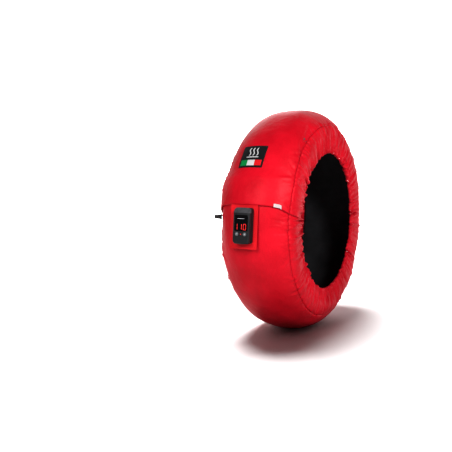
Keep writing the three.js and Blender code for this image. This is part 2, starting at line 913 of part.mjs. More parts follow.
function roundedFront(inset, front) {
  const shape = housingShape(inset + frontRounding);
  const geometry = new THREE.ExtrudeGeometry(shape, {
    depth: front - frontRounding - coverBack,
    bevelEnabled: true,
    bevelThickness: frontRounding,
    bevelSize: frontRounding,
    bevelSegments: 2,
    curveSegments: 4
  });
  geometry.translate(0, housingMiddle, coverBack);
  return cut(geometry, block([farOff, farOff, farOff], 0, 0, coverBack - farOff / 2));
}

const keyLevel = housingBottom + keyFromBottom;
const keySpots = [-1, 1].map((side) => [side * keySpacing / 2, keyLevel]);
const windowBottom = keyLevel + keyBelowWindow;
const windowHeight = housingTop - windowFromTop - windowBottom;
const windowMiddle = windowBottom + windowHeight / 2;
const digitsLevel = windowBottom + digitsAboveEdge;

function windowBlock(grow, from, to) {
  const shape = roundedShape(windowWidth + 2 * grow, windowHeight + 2 * grow, windowCorner);
  return extrude(shape, from, to, 2).translate(0, windowMiddle, 0);
}

function housingCover() {
  const outer = cut(roundedFront(0, coverFront), slopeCutter(0), ...slots());
  const hollowFront = coverFront - housingWall;
  const hollow = cut(
    housingBlock(housingWall + coverStep, coverBack - cutOverrun, hollowFront),
    slopeCutter(housingWall + slotDepth + coverStep)
  );
  const [from, to] = [hollowFront - cutOverrun, coverFront + cutOverrun];
  const keyHoles = keySpots.map(([x, y]) => disc(keyRadius + clearance, from, to, x, y, 16));
  const lampHole = disc(lampRadius + clearance, from, to, 0, keyLevel, 8);
  return cut(outer, hollow, windowBlock(clearance, from, to), lampHole, ...keyHoles);
}

add('housing_cover', housingCover(), housingGrey, tab);

// Window: a glossy plate flush with the front and a lip behind the wall
function displayWindow() {
  const lipFront = coverFront - housingWall - clearance;
  return joined(
    windowBlock(0, lipFront - joinOverlap, coverFront - windowSunk),
    windowBlock(windowLip, lipFront - windowLip, lipFront)
  );
}

add('display_window', displayWindow(), windowBlack, tab);

// Board, and what stands on it
const boardBack = floorFront + boardStandoff;
const boardFront = boardBack + boardThickness;
const onBoard = boardFront + clearance;
const boardShape = roundedShape(
  housingWidth - 2 * (housingWall + boardMargin),
  housingHeight - 2 * (housingWall + boardMargin),
  housingCorner - housingWall
);
const board = extrude(boardShape, boardBack, boardFront, 3).translate(0, housingMiddle, 0);
add('circuit_board', cut(board, ...screwSpots().map(([x, y]) => (
  disc(screwRadius + clearance, boardBack - cutOverrun, boardFront + cutOverrun, x, y, 8)
))), boardGreen, tab);

// Display module with the bars of its lit digits standing proud
const lipBack = coverFront - housingWall - clearance - windowLip;
const moduleFront = lipBack - 2 * clearance;
const litBars = { 1: 'bc', 0: 'abcdef' };

function digitBars(character, x) {
  const w = digitWidth / 2;
  const h = digitHeight / 2;
  const y = digitsLevel;
  const bars = {
    a: [0, h, true],
    b: [w, h / 2, false],
    c: [w, -h / 2, false],
    d: [0, -h, true],
    e: [-w, -h / 2, false],
    f: [-w, h / 2, false]
  };
  return [...litBars[character]].map((name) => {
    const [dx, dy, flat] = bars[name];
    const size = flat ? [digitWidth, digitBar, clearance] : [digitBar, h + digitBar, clearance];
    return block(size, x + dx, y + dy, moduleFront);
  });
}

function displayModule() {
  const width = windowWidth - 2 * moduleMargin;
  const height = digitHeight + 2 * moduleBorder;
  const body = block(
    [width, height, moduleFront - onBoard], 0, digitsLevel,
    (moduleFront + onBoard) / 2
  );
  const bars = [...'110'].flatMap((character, i) => digitBars(character, (i - 1) * digitPitch));
  return joined(body, ...bars);
}

add('display_module', displayModule(), partGrey, tab);

// Keys: a cap in its hole, a flange behind the wall and a stem down to its switch
const wallBack = coverFront - housingWall;
const flangeFront = wallBack - clearance;
const flangeBack = flangeFront - keyFlange;
const switchTop = onBoard + switchHeight;
keySpots.forEach(([x, y], index) => {
  const cap = joined(
    disc(keyRadius, flangeBack + joinOverlap, coverFront + keyProud, x, y, 16),
    disc(keyRadius + keyFlangeReach, flangeBack, flangeFront, x, y, 16),
    disc(keyStemRadius, switchTop + keyTravel + clearance, flangeBack + joinOverlap, x, y, 8)
  );
  add(['key_minus', 'key_plus'][index], cap, keyGrey, tab);
  add(`key_switch_${index + 1}`, block(
    [switchSize, switchSize, switchHeight], x, y, onBoard + switchHeight / 2
  ), partGrey, tab);
});

// Lamp between the keys, standing on the board
add('status_lamp', disc(
  lampRadius, onBoard, coverFront + lampProud, 0, keyLevel, 8
), lampRed, tab);

// Relay at the upper end of the board, terminal block and fuse at the lower end
const boardReach = housingHeight / 2 - housingWall - boardMargin;
const relaySpot = housingMiddle + boardReach - relayMargin - relaySize[1] / 2;
const terminalSpot = housingMiddle - boardReach + terminalMargin + terminalSize[1] / 2;
const fuseSpot = terminalSpot + terminalSize[1] / 2 + fuseGap + fuseRadius;
add('relay', block(relaySize, 0, relaySpot, onBoard + relaySize[2] / 2), partGrey, tab);
add('terminal_block', block(
  terminalSize, 0, terminalSpot, onBoard + terminalSize[2] / 2
), boardGreen, tab);
const fuse = new THREE.CylinderGeometry(fuseRadius, fuseRadius, fuseLength, 8);
fuse.rotateZ(Math.PI / 2).translate(0, fuseSpot, onBoard + fuseRadius);
add('fuse', fuse, steel, tab);

// Grommet in the tab and the lead that runs through it to the splice
function grommet() {
  const lipFront = floorFront + grommetLip;
  const sleeve = disc(grommetBody, tabBack + screwSunk, lipFront, 0, leadSpot);
  const lip = disc(grommetBody + grommetLipReach, floorFront + clearance, lipFront, 0, leadSpot);
  const bore = disc(
    leadRadius + clearance, tabBack - cutOverrun, lipFront + cutOverrun, 0, leadSpot
  );
  return cut(joined(sleeve, lip), bore);
}

add('lead_grommet', grommet(), rubberBlack, tab);
const padInnerRadius = crownRadius + padInner;
const leadInner = Math.sqrt(padInnerRadius ** 2 - leadSpot ** 2) - crownRadius;
add('heater_lead', leadCylinder(leadRadius, leadInner, boardBack - clearance), rubberBlack, tab);

// Gland of the mains cord, on the left shoulder under the end of the flap
function cordGland() {
  const outline = [
    [glandBoreRadius, glandBoreStart],
    [glandBaseRadius, 0],
    [glandBaseRadius, glandFlange],
    [glandNeckRadius, glandNeck],
    [glandTipRadius, glandLength],
    [glandBoreRadius, glandLength],
    [glandBoreRadius, glandBoreStart]
  ].map((point) => new THREE.Vector2(...point));
  return new THREE.LatheGeometry(outline, 12);
}

const glandFoot = place(glandAngle, glandStation, clearance);
const glandOut = place(glandAngle, glandStation, 10).sub(glandFoot).normalize();
const gland = add('cord_gland', cordGland(), rubberBlack);
gland.quaternion.setFromUnitVectors(new THREE.Vector3(0, 1, 0), glandOut);
gland.position.copy(glandFoot);

export default warmer;
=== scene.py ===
# A motorcycle tire warmer: red nylon cloth with gathered sides, sewn labels and a controller on a tab.
import math

import bpy
import numpy as np
from mathutils import Matrix, Vector


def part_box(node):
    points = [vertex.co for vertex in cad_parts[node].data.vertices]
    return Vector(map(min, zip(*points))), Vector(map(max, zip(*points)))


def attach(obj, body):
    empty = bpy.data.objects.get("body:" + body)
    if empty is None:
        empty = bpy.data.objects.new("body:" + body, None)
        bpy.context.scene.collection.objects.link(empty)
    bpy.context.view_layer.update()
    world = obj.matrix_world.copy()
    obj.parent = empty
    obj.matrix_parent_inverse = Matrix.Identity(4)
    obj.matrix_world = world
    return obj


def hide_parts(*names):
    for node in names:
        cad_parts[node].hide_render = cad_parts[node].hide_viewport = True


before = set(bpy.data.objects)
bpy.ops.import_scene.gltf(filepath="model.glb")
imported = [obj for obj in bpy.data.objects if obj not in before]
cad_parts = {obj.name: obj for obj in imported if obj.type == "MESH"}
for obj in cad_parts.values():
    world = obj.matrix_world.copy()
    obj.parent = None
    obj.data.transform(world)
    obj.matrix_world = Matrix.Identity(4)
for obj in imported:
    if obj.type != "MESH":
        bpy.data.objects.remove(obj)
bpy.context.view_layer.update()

MM = 0.001

# The ring, in metres and radians: phi is the angle up from the front, way runs across the cloth
FLAT_HALF_ANGLE = math.radians(8.5)
TREAD_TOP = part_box("cover_tread")[1].z
CROWN = TREAD_TOP / (1 + math.cos(FLAT_HALF_ANGLE))
AXLE = TREAD_TOP - CROWN
HALF_WIDTH = 112 * MM
SHOULDER_DROP = 77 * MM
CROWN_EXPONENT = 1.8
SIDE_EXPONENT = 2.3
SEAM_STEP = math.radians(64.6)
HEM_RADIUS = 207 * MM
HEM_HALF_WIDTH = 106 * MM
HEM_CURL = 4.6 * MM
HEM_RETURN = 9 * MM
CLOTH = 1.2 * MM
TREAD_STEPS, SIDE_STEPS, CURL_STEPS, RETURN_STEPS = 300, 59, 23, 9
SIDE_NAMES = {1: "right", -1: "left"}


def superellipse(step):
    across = HALF_WIDTH * np.sin(step) ** (2 / SIDE_EXPONENT)
    rise = np.clip(np.cos(step), 0, 1) ** (2 / CROWN_EXPONENT)
    return across, CROWN - SHOULDER_DROP + SHOULDER_DROP * rise


def cross_section():
    """The outer face from the crown over seam and hem to the free edge inside the hem."""
    across, radius = superellipse(np.linspace(0, math.pi / 2, TREAD_STEPS))
    part = np.linspace(0, 1, SIDE_STEPS + 1)[1:]
    side_across = HALF_WIDTH - (HALF_WIDTH - HEM_HALF_WIDTH) * part ** 2
    side_radius = radius[-1] + (HEM_RADIUS - radius[-1]) * part
    turn = np.linspace(0, math.pi, CURL_STEPS + 1)[1:]
    curl_across = HEM_HALF_WIDTH - HEM_CURL + HEM_CURL * np.cos(turn)
    curl_radius = HEM_RADIUS - HEM_CURL * np.sin(turn)
    back = np.linspace(0, HEM_RETURN, RETURN_STEPS + 1)[1:]
    across = np.r_[across, side_across, curl_across, np.full(RETURN_STEPS, curl_across[-1])]
    radius = np.r_[radius, side_radius, curl_radius, HEM_RADIUS + back]
    return across, radius


SECTION_X, SECTION_R = cross_section()
SECTION_W = np.r_[0, np.cumsum(np.hypot(np.diff(SECTION_X), np.diff(SECTION_R)))]
RUN_X, RUN_R = np.gradient(SECTION_X, SECTION_W), np.gradient(SECTION_R, SECTION_W)
SECTION_NX = -RUN_R / np.hypot(RUN_X, RUN_R)
SECTION_NR = RUN_X / np.hypot(RUN_X, RUN_R)


def width_way(across):
    """The way across the cloth at a distance from the middle plane, on the tread."""
    top = int(np.argmax(SECTION_X))
    return np.sign(across) * np.interp(np.abs(across), SECTION_X[:top], SECTION_W[:top])


SEAM_X, SEAM_RADIUS = (float(value) for value in superellipse(SEAM_STEP))
SEAM = float(width_way(SEAM_X))
HEM = float(SECTION_W[TREAD_STEPS + SIDE_STEPS - 1])
EDGE = float(SECTION_W[-1])


def from_bottom(phi):
    """The angle between a place on the ring and its lowest point."""
    return np.abs((phi + 1.5 * math.pi) % (2 * math.pi) - math.pi)


def ring(phi, way, out):
    """Places on the ring: out is the height over the outer face."""
    phi, way, out = np.broadcast_arrays(phi, way, out)
    reach = np.abs(way)
    base = np.interp(reach, SECTION_W, SECTION_R)
    across = np.interp(reach, SECTION_W, SECTION_X) + out * np.interp(reach, SECTION_W, SECTION_NX)
    floor = AXLE / np.cos(np.minimum(from_bottom(phi), 0.5))
    radius = base + out * np.interp(reach, SECTION_W, SECTION_NR) - np.maximum(0, base - floor)
    side = np.where(way < 0, -1.0, 1.0)
    return np.stack([side * across, -radius * np.cos(phi), AXLE + radius * np.sin(phi)], -1)


# The closure, in degrees up from the front: the flap's edge slants down towards the sides
FLAP_EDGE = 12
FLAP_LINE = FLAP_EDGE - 360
FLAP_STITCH = 2.3
TUCK_END = 24
RAMP_TOP = 30
EDGE_X = np.array([0, 44, 64.5, 81.6, 94.2, 102.5]) * MM
SIDE_STOPS = np.array([0, 16.5, 32.5, 56, 80]) * MM
EDGE_WAYS = np.r_[width_way(EDGE_X), SEAM + SIDE_STOPS[1:]]
EDGE_ANGLES = [11.5, 11.5, 11.4, 11.1, 9.6, 8.6, 7.9, 7.3, 6.6, 6]
STACK = 4 * MM


def lean(line, way):
    """The angle at a place of a line that is level in the middle and slants near the flap's edge."""
    wrapped = np.where(line < -180, line + 360, line)
    near = np.clip(1 - np.abs(wrapped - FLAP_EDGE) / FLAP_EDGE, 0, 1)
    return line + near * (np.interp(np.abs(way), EDGE_WAYS, EDGE_ANGLES) - FLAP_EDGE)


def smooth(value, low, high):
    part = np.clip((value - low) / (high - low), 0, 1)
    return part * part * (3 - 2 * part)


def lift(line, way):
    """The flap's height over the layers that it covers."""
    climb = smooth(RAMP_TOP - 360 - line, 0, RAMP_TOP - TUCK_END)
    beyond = np.clip((np.abs(way) - SEAM) / (HEM - SEAM), 0, 1)
    return STACK * climb * (1 - beyond)


# Meshes
def mesh_object(name, points, faces, material, uv=None):
    data = bpy.data.meshes.new(name)
    data.from_pydata([tuple(p) for p in points], [], [tuple(f) for f in faces])
    data.materials.append(material)
    data.polygons.foreach_set("use_smooth", [True] * len(data.polygons))
    if uv is not None:
        layer = data.uv_layers.new(name="cloth")
        corners = np.empty(len(data.loops), int)
        data.loops.foreach_get("vertex_index", corners)
        layer.data.foreach_set("uv", np.asarray(uv, float)[corners].ravel())
    piece = bpy.data.objects.new(name, data)
    bpy.context.scene.collection.objects.link(piece)
    data.validate()
    return piece


def grid_faces(rows, columns, start=0, flip=False):
    index = start + np.arange(rows * columns).reshape(rows, columns)
    a, b, c, d = index[:-1, :-1], index[1:, :-1], index[1:, 1:], index[:-1, 1:]
    order = (a, d, c, b) if flip else (a, b, c, d)
    return np.stack(order, -1).reshape(-1, 4)


def strip_faces(first, second):
    return np.stack([first[:-1], first[1:], second[1:], second[:-1]], -1)


def cloth(name, outer, inner, uv, material):
    """A sheet of cloth with two faces and its edges, from two grids of points."""
    rows, columns = outer.shape[:2]
    count = rows * columns
    index = np.arange(count).reshape(rows, columns)
    border = np.r_[index[0], index[1:, -1], index[-1, -2::-1], index[-2:0:-1, 0], index[0, 0]]
    faces = np.r_[
        grid_faces(rows, columns),
        grid_faces(rows, columns, count, flip=True),
        strip_faces(border, border + count),
    ]
    points = np.r_[outer.reshape(-1, 3), inner.reshape(-1, 3)]
    both = np.r_[uv.reshape(-1, 2), uv.reshape(-1, 2)]
    piece = mesh_object(name, points, faces, material, both)
    return face_outward(piece)


def face_outward(piece):
    """Turns the faces out, by the sign of the volume that they close."""
    data = piece.data
    data.calc_loop_triangles()
    corners = np.empty(len(data.loop_triangles) * 3, int)
    data.loop_triangles.foreach_get("vertices", corners)
    places = np.empty(len(data.vertices) * 3)
    data.vertices.foreach_get("co", places)
    a, b, c = places.reshape(-1, 3)[corners.reshape(-1, 3)].transpose(1, 0, 2)
    if np.einsum("ij,ij->i", a, np.cross(b, c)).sum() < 0:
        data.flip_normals()
    return piece


def put(piece, body, slot, *nodes):
    """Says what the piece rides on and hides the solids that it stands for; slot is not used."""
    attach(piece, body)
    if nodes:
        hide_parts(*nodes)
    return piece


# Materials
def new_material(name, color, roughness, **sockets):
    material = bpy.data.materials.new(name)
    material.use_nodes = True
    shader = material.node_tree.nodes["Principled BSDF"]
    shader.inputs["Base Color"].default_value = (*color, 1)
    shader.inputs["Roughness"].default_value = roughness
    for socket, value in sockets.items():
        shader.inputs[socket.replace("_", " ")].default_value = value
    return material


def noise(tree, scale, detail=3, stretch=(1, 1, 1), source="Object"):
    nodes, links = tree.nodes, tree.links
    place = nodes.new("ShaderNodeTexCoord")
    mapping = nodes.new("ShaderNodeMapping")
    mapping.inputs["Scale"].default_value = stretch
    texture = nodes.new("ShaderNodeTexNoise")
    texture.inputs["Scale"].default_value = scale
    texture.inputs["Detail"].default_value = detail
    links.new(place.outputs[source], mapping.inputs["Vector"])
    links.new(mapping.outputs["Vector"], texture.inputs["Vector"])
    return texture.outputs["Fac"]


def mottle(material, dark, light, scale, detail=3, low=0.35, high=0.65):
    tree = material.node_tree
    ramp = tree.nodes.new("ShaderNodeValToRGB")
    ramp.color_ramp.elements[0].position = low
    ramp.color_ramp.elements[1].position = high
    ramp.color_ramp.elements[0].color = (*dark, 1)
    ramp.color_ramp.elements[1].color = (*light, 1)
    tree.links.new(noise(tree, scale, detail), ramp.inputs["Fac"])
    shader = tree.nodes["Principled BSDF"]
    tree.links.new(ramp.outputs["Color"], shader.inputs["Base Color"])


def bumps(material, layers):
    """Bump from several noises: each layer is (strength, height, scale, detail, stretch, source)."""
    tree = material.node_tree
    normal = None
    for strength, height, scale, detail, stretch, source in layers:
        bump = tree.nodes.new("ShaderNodeBump")
        bump.inputs["Strength"].default_value = strength
        bump.inputs["Distance"].default_value = height
        tree.links.new(noise(tree, scale, detail, stretch, source), bump.inputs["Height"])
        if normal:
            tree.links.new(normal, bump.inputs["Normal"])
        normal = bump.outputs["Normal"]
    tree.links.new(normal, tree.nodes["Principled BSDF"].inputs["Normal"])


def woven(name, dark, light, roughness, sheen, crinkle=0.5):
    material = new_material(name, light, roughness, Sheen_Weight=sheen, Sheen_Roughness=0.4,
                            Specular_IOR_Level=0.12)
    mottle(material, dark, light, 14)
    bumps(material, [
        (crinkle, 0.0012, 70, 4, (1, 1, 1), "Object"),
        (0.25, 0.0002, 1600, 1, (1, 0.12, 1), "UV"),
        (0.25, 0.0002, 1600, 1, (0.12, 1, 1), "UV"),
    ])
    return material


def grained(name, color, roughness, scale=900, strength=0.3, **sockets):
    material = new_material(name, color, roughness, **sockets)
    mottle(material, [0.8 * c for c in color], [1.15 * c for c in color], 60)
    bumps(material, [(strength, 0.0002, scale, 2, (1, 1, 1), "Object")])
    return material


RED = woven("red_nylon", (0.38, 0.004, 0.015), (0.46, 0.007, 0.022), 0.46, 0.0, 1.0)
TAB_RED = woven("red_tab", (0.44, 0.01, 0.018), (0.5, 0.013, 0.022), 0.5, 0.0, 0.15)
BLACK_CLOTH = woven("black_nylon", (0.008, 0.008, 0.009), (0.016, 0.016, 0.018), 0.75, 0.2)
PATCH_BLACK = woven("patch_black", (0.006, 0.006, 0.007), (0.012, 0.012, 0.013), 0.8, 0.2, 0.2)
PATCH_GREEN = woven("patch_green", (0.0, 0.16, 0.045), (0.0, 0.22, 0.06), 0.75, 0.1, 0.2)
PATCH_WHITE = woven("patch_white", (0.4, 0.4, 0.4), (0.48, 0.48, 0.48), 0.75, 0.0, 0.2)
PATCH_RED = woven("patch_red", (0.4, 0.01, 0.015), (0.5, 0.015, 0.02), 0.75, 0.1, 0.2)
TAG_WHITE = woven("tag_white", (0.36, 0.31, 0.31), (0.46, 0.4, 0.4), 0.7, 0.0, 0.2)
FELT = woven("felt", (0.08, 0.08, 0.085), (0.12, 0.12, 0.125), 0.95, 0.4, 1.0)
ELASTIC = woven("elastic", (0.6, 0.6, 0.58), (0.75, 0.75, 0.72), 0.8, 0.2)
STRIP_BLACK = grained("strip", (0.02, 0.02, 0.02), 0.9, 1500, 0.9)
THREAD = grained("thread", (0.36, 0.003, 0.009), 0.6, 3000, 0.2, Specular_IOR_Level=0.16)
HOUSING = grained("housing", (0.011, 0.0115, 0.013), 0.48, 1800, 0.25, Specular_IOR_Level=0.3)
SLOPE = grained("slope_grey", (0.06, 0.06, 0.064), 0.45, 1800, 0.2, Specular_IOR_Level=0.3)
WINDOW = new_material("window", (0.003, 0.003, 0.0035), 0.08, Coat_Weight=0.5, Coat_Roughness=0.04)
KEYS = grained("keys", (0.11, 0.115, 0.12), 0.45, 1800, 0.15)
MARK = grained("mark", (0.45, 0.46, 0.48), 0.45, 1800, 0.1)
RUBBER = grained("rubber", (0.014, 0.014, 0.014), 0.7, 1200, 0.3)
STEEL = grained("steel", (0.55, 0.56, 0.57), 0.3, 700, 0.1, Metallic=1.0)
COPPER = grained("copper", (0.6, 0.3, 0.16), 0.35, 700, 0.1, Metallic=1.0)
BOARD = grained("board", (0.02, 0.14, 0.05), 0.5, 400, 0.2)
COMPONENT = grained("component", (0.04, 0.045, 0.05), 0.5, 900, 0.2)
DIGITS = new_material("digits", (0.6, 0.02, 0.02), 0.4, Emission_Color=(1, 0.03, 0.03, 1),
                      Emission_Strength=0.9)

NODE_FINISHES = {
    "heating_element": COPPER, "lead_splice": STEEL, "temperature_sensor": STEEL,
    "loop_strip": STRIP_BLACK, "hook_strip": STRIP_BLACK, "tab_strap": TAB_RED,
    "housing_base": HOUSING, "housing_gasket": RUBBER, "display_window": WINDOW,
    "circuit_board": BOARD, "display_module": COMPONENT, "key_switch_1": COMPONENT,
    "key_switch_2": COMPONENT, "relay": COMPONENT, "terminal_block": BOARD, "fuse": STEEL,
    "lead_grommet": RUBBER, "heater_lead": RUBBER, "cord_gland": RUBBER, "status_lamp": DIGITS,
}
for screw in range(1, 5):
    NODE_FINISHES[f"housing_screw_{screw}"] = STEEL
for node, finish in NODE_FINISHES.items():
    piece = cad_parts[node]
    piece.data.materials.clear()
    piece.data.materials.append(finish)


# Folds
def wander(rng, low, high, size):
    """A smooth closed wave round the ring, made of a few frequencies."""
    turns = np.arange(low, high + 1)
    heights = rng.normal(size=len(turns)) / np.sqrt(len(turns))
    starts = rng.uniform(0, 2 * math.pi, len(turns))

    def wave(phi):
        total = np.zeros_like(phi)
        for turn, height, start in zip(turns, heights, starts):
            total += height * np.cos(turn * phi + start)
        return size * total
    return wave


TREAD_RADIUS, PANEL_RADIUS = 0.3, 0.27
TREAD_CREASES, HEM_CREASES = 150, 170


class Creases:
    """Ridges and dents along short lines on the cloth."""

    def __init__(self):
        self.rows = []

    def add(self, start, end, width, height):
        """A chosen crease between two (degrees, millimetres) places."""
        self.rows.append((math.radians(start[0]), start[1] * MM, math.radians(end[0]),
                          end[1] * MM, width * MM, height * MM))

    def height(self, phi, way, radius=TREAD_RADIUS):
        total = np.zeros(np.broadcast(phi, way).shape)
        for phi_0, way_0, phi_1, way_1, width, height in self.rows:
            turn = (phi - phi_0 + math.pi) % (2 * math.pi) - math.pi
            a, b = radius * turn, way - way_0
            along = np.array([radius * (phi_1 - phi_0), way_1 - way_0])
            length = np.hypot(*along)
            unit = along / length
            part = (a * unit[0] + b * unit[1]) / length
            off = -a * unit[1] + b * unit[0]
            shape = np.exp(-(off / width) ** 2 * (1 + part.clip(0, 1)))
            fade = smooth(part, -0.15, 0.15) * (1 - smooth(part, 0.5, 1.05))
            total += height * shape * fade
        return total


def tread_creases(seed, side):
    """Scattered creases that start at a seam and run in over the tread."""
    rng = np.random.default_rng(seed)
    creases = Creases()
    for _ in range(TREAD_CREASES):
        phi = rng.uniform(0, 2 * math.pi)
        length = rng.gamma(2.5, 5.5) * MM + 5 * MM
        tilt = rng.normal(0, 0.5)
        height = rng.choice([-0.8, 1]) * rng.uniform(1, 2.8) * MM
        creases.rows.append((phi, side * (SEAM + 4 * MM), phi + tilt * length / TREAD_RADIUS,
                             side * (SEAM - length), rng.uniform(1.8, 4.5) * MM, height))
    return creases


CREASES = {1: tread_creases(11, 1), -1: tread_creases(23, -1)}
# Folds that the photo shows: start and end in (degrees, millimetres), width and height
for fold in (
    ((68, 96), (46, 116), 3.2, -2.2), ((66, 88), (44, 112), 3.5, 1.6),
    ((52, 100), (40, 126), 3.5, -2.2), ((47, 96), (36, 124), 3, 1.8),
    ((36, 92), (31, 116), 2.6, -1.6), ((33, 88), (27, 118), 2.6, 1.4),
    ((4.5, 118), (5.5, 60), 2.6, -1.3), ((1.5, 118), (2.5, 54), 3, 1.4),
    ((-1.5, 118), (-1.5, 66), 2.4, -1.2), ((-8, 118), (-7, 76), 3, 1.2),
    ((-17, 118), (-14, 84), 3.2, -1.3), ((-28, 118), (-25, 88), 3.2, 1.3),
):
    CREASES[1].add(*fold)


def panel_creases(seed, side):
    """Folds of a side panel: the tread's creases run on over the seam, others start at the hem."""
    rng = np.random.default_rng(seed)
    creases = Creases()
    for phi, _, phi_end, _, width, height in CREASES[side].rows:
        reach = rng.uniform(18, 52) * MM
        creases.rows.append((phi, side * (SEAM - 4 * MM), 2 * phi - phi_end + rng.normal(0, 0.05),
                             side * (SEAM + reach), width, height))
    for _ in range(HEM_CREASES):
        phi = rng.uniform(0, 2 * math.pi)
        reach = rng.uniform(14, 58) * MM
        creases.rows.append((phi, side * (HEM + 6 * MM), phi + rng.normal(0, 0.07),
                             side * (HEM - reach), rng.uniform(2.2, 4.6) * MM,
                             rng.choice([-1, 1]) * rng.uniform(1.2, 3) * MM))
    return creases


PANEL_CREASES = {1: panel_creases(57, 1), -1: panel_creases(59, -1)}
BULGES = wander(np.random.default_rng(5), 5, 16, 1.5 * MM)
BULGES_ACROSS = wander(np.random.default_rng(6), 4, 11, 1.2 * MM)
SEAM_DIP, SEAM_DIP_WIDTH = 1.6 * MM, 2.2 * MM


def tread_relief(phi, way):
    """Wrinkles of the tread cloth: soft bulges, creases from both seams, the dip of the seams."""
    soft = BULGES(phi) * np.cos(way / SEAM) + BULGES_ACROSS(phi + 9 * way) * (way / SEAM) ** 2
    folds = CREASES[1].height(phi, way) + CREASES[-1].height(phi, way)
    dip = -SEAM_DIP * np.exp(-((SEAM - np.abs(way)) / SEAM_DIP_WIDTH) ** 2)
    calm = smooth(from_bottom(phi), 0.12, 0.3)
    return calm * (soft + folds) + dip


# Cloth pieces
def line_row(start, end, spacing_degrees):
    return np.linspace(start, end, int(abs(start - end) / spacing_degrees) + 1)


def flap_hem(line, way):
    """The flap's edge is folded double up to its stitch line."""
    above = line - FLAP_LINE
    doubled = 0.5 * MM * (1 - smooth(above, 2.0, 2.6))
    stitched = -0.5 * MM * np.exp(-((above - FLAP_STITCH) / 0.28) ** 2)
    return doubled + stitched


def make_tread():
    lines = line_row(TUCK_END, FLAP_LINE, 0.62)[:, None]
    ways = np.linspace(-SEAM, SEAM, 67)[None, :]
    phi = np.radians(lean(lines, ways))
    relief = tread_relief(phi, ways) + lift(lines, ways) + flap_hem(lines, ways)
    outer = ring(phi, ways, relief)
    inner = ring(phi, ways, relief - CLOTH)
    uv = np.stack(np.broadcast_arrays(CROWN * phi, ways), -1)
    piece = cloth("tread_cloth", outer, inner, uv, RED)
    put(piece, "warmer", "red_nylon", "cover_tread")


# The side panels: their lower end, the hem's gathers and the spare length that makes the folds
END_LINES = [20, 17, 11.6, 11.5, 11.5]
PANEL_END = END_LINES[0]
PANEL_ROWS, PANEL_COLUMNS, HEM_COLUMNS = 860, 27, 13
HEM_GATHERS = 62
HEM_WAVE = 4 * MM
HEM_STITCH = HEM - 11 * MM
SEAM_BLEND = 16 * MM
FOLD_LIMIT = 6.5 * MM
SIM_FRAMES = 26
EASE = 1.07
STITCH_PITCH = 4.2 * MM
STITCH_LENGTH = 2.8 * MM
STITCH_RADIUS = 0.35 * MM


def hem_wave(phi, side):
    """The hem's gathers, uneven in spacing and in height."""
    rng = np.random.default_rng(71 if side > 0 else 83)
    drift = wander(rng, 3, 40, 4.5)(phi)
    force = np.clip(1 + wander(rng, 4, 50, 0.8)(phi), 0.3, 1.8)
    return HEM_WAVE * force * np.sin(HEM_GATHERS * phi + drift)


def simulate(piece, cut, held):
    """The simulation draws the mesh towards the size it was cut to, and held points stay."""
    piece.shape_key_add(name="worn")
    key = piece.shape_key_add(name="cut")
    key.data.foreach_set("co", cut.ravel())
    group = piece.vertex_groups.new(name="held")
    group.add([int(index) for index in np.flatnonzero(held)], 1.0, "REPLACE")
    modifier = piece.modifiers.new("cloth", "CLOTH")
    settings = modifier.settings
    settings.vertex_group_mass = "held"
    settings.rest_shape_key = key
    settings.quality = 7
    settings.mass = 0.15
    settings.air_damping = 4
    settings.tension_stiffness = settings.compression_stiffness = 25
    settings.shear_stiffness = 6
    settings.bending_stiffness = 0.04
    settings.tension_damping = settings.compression_damping = 10
    settings.effector_weights.gravity = 0
    modifier.collision_settings.use_collision = False
    scene = bpy.context.scene
    modifier.point_cache.frame_start, modifier.point_cache.frame_end = 1, SIM_FRAMES
    for frame_number in range(1, SIM_FRAMES + 1):
        scene.frame_set(frame_number)
    worn = piece.evaluated_get(bpy.context.evaluated_depsgraph_get())
    places = np.empty(len(piece.data.vertices) * 3)
    worn.data.vertices.foreach_get("co", places)
    scene.frame_set(1)
    bpy.data.objects.remove(piece)
    return places.reshape(-1, 3)


def grid_normals(grid):
    along = np.gradient(grid, axis=0)
    across = np.gradient(grid, axis=1)
    normal = np.cross(along, across)
    return normal / np.linalg.norm(normal, axis=2)[..., None]


def worn_panel(side, phi, ways, base):
    rng = np.random.default_rng(31 if side > 0 else 47)
    part = np.clip((np.abs(ways) - SEAM) / (HEM - SEAM), 0, 1)
    held_wave = hem_wave(phi, side) * part ** 1.5
    start = base.copy()
    start[..., 0] += side * (held_wave + 0.25 * MM * rng.normal(size=phi.shape) * (part < 1))
    rows, columns = phi.shape
    cut = np.stack([EASE * SEAM_RADIUS * phi, ways, 0 * phi], -1)
    piece = mesh_object("panel_at_work", start.reshape(-1, 3), grid_faces(rows, columns), RED)
    held = np.zeros((rows, columns), bool)
    held[:, 0] = held[:, -1] = held[0] = held[-1] = True
    worn = simulate(piece, cut.reshape(-1, 3), held.ravel()).reshape(start.shape)
    move = worn - base
    far = np.linalg.norm(move, axis=2)[..., None]
    return base + move * np.minimum(1, FOLD_LIMIT / np.maximum(far, 1e-9))


